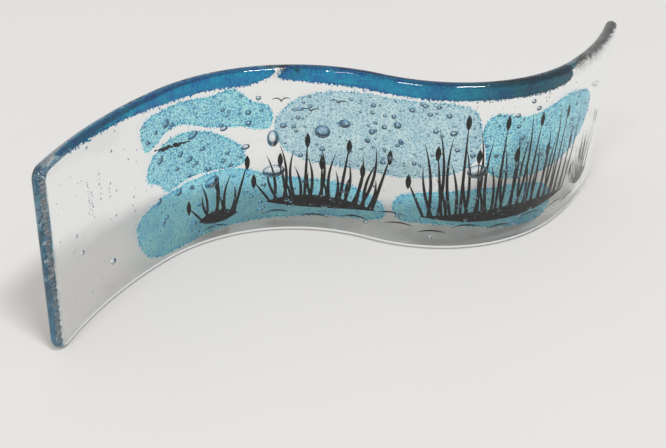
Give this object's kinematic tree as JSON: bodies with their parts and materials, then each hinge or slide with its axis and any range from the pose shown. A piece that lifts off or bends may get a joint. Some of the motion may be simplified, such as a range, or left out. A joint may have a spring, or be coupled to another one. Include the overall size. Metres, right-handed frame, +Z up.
{
  "type": "glass wave sculpture",
  "caption": "Free-standing panel of kiln-fused clear glass, bent into an S in plan, with blue inlays, seed bubbles and a black line print sealed inside.",
  "frame": {"origin": "centre of the panel's outer box in plan, on the surface it stands on", "axes": "+X along the panel from its left end to its right end as the print is read, +Y away from the viewer, +Z up"},
  "size_m": [0.308, 0.0798, 0.0875],
  "materials": {
    "clear_glass": "fire-polished, glossy, with seed bubbles",
    "deep_blue_glass": "deep blue, fine froth along its lower edge",
    "sky_glass": "pale blue, mottled with fine bubbles",
    "sea_glass": "deeper blue, lightly mottled",
    "black_enamel": "opaque black glass enamel"
  },
  "bodies": {
    "root": {"front_sheet": "clear_glass", "back_sheet": "clear_glass", "top_strip_left": "deep_blue_glass", "top_strip_right": "deep_blue_glass", "sky_arch": "sky_glass", "sky_lobe": "sky_glass", "sky_centre": "sky_glass", "sky_right": "sky_glass", "sea_left": "sea_glass", "sea_right": "sea_glass", "tall_reeds": "black_enamel", "middle_reeds": "black_enamel", "left_tuft": "black_enamel", "right_tuft": "black_enamel", "water_ripples": "black_enamel", "bird_flock": "black_enamel"}
  },
  "joints": []
}
